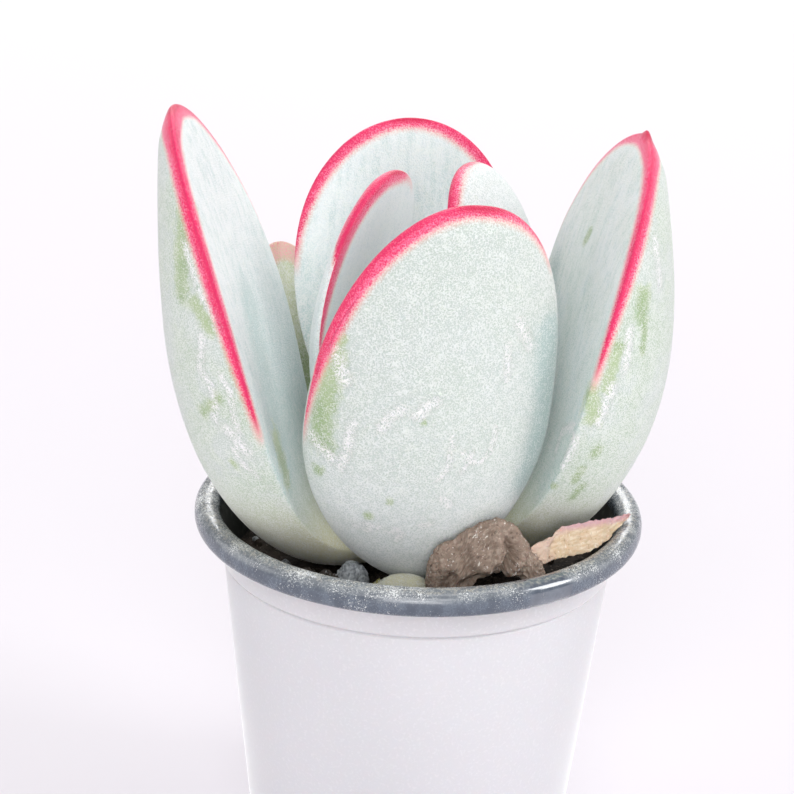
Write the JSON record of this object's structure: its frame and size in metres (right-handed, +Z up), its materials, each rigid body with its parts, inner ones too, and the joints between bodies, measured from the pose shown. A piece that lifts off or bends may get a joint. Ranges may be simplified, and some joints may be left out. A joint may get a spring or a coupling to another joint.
{
  "type": "potted cotyledon",
  "caption": "Young fleshy succulent with powdery pale leaves edged in red, growing in soil in a small round white nursery pot with a rolled grey rim.",
  "frame": {"origin": "on the pot's axis, at the middle of the flat underside of the pot", "axes": "+Z up along the pot's axis; -Y towards the viewer of the picture; +X to that viewer's right"},
  "size_m": [0.0768, 0.07, 0.1246],
  "materials": {
    "pot": "white outside, blue-grey rim and inside, semi-matt, dusty",
    "soil": "damp dark peat with grit",
    "stem": "matt, pale green to tan",
    "stone_grey": "rough, matt",
    "leaf": "matt white powder bloom over green, crimson margin",
    "leaf_old_back": "matt, thin bloom, yellowing",
    "dried_leaf_brown": "dry, wrinkled, matt",
    "dried_leaf_tan": "dry, papery, matt"
  },
  "bodies": {
    "root": {"pot": "pot", "soil": "soil", "stem": "stem", "stone_grey": "stone_grey", "leaf_left": "leaf", "leaf_right": "leaf", "leaf_front": "leaf", "leaf_back": "leaf", "leaf_inner_left": "leaf", "leaf_inner_right": "leaf", "leaf_old_back": "leaf_old_back", "dried_leaf_brown": "dried_leaf_brown", "dried_leaf_tan": "dried_leaf_tan"}
  },
  "joints": []
}
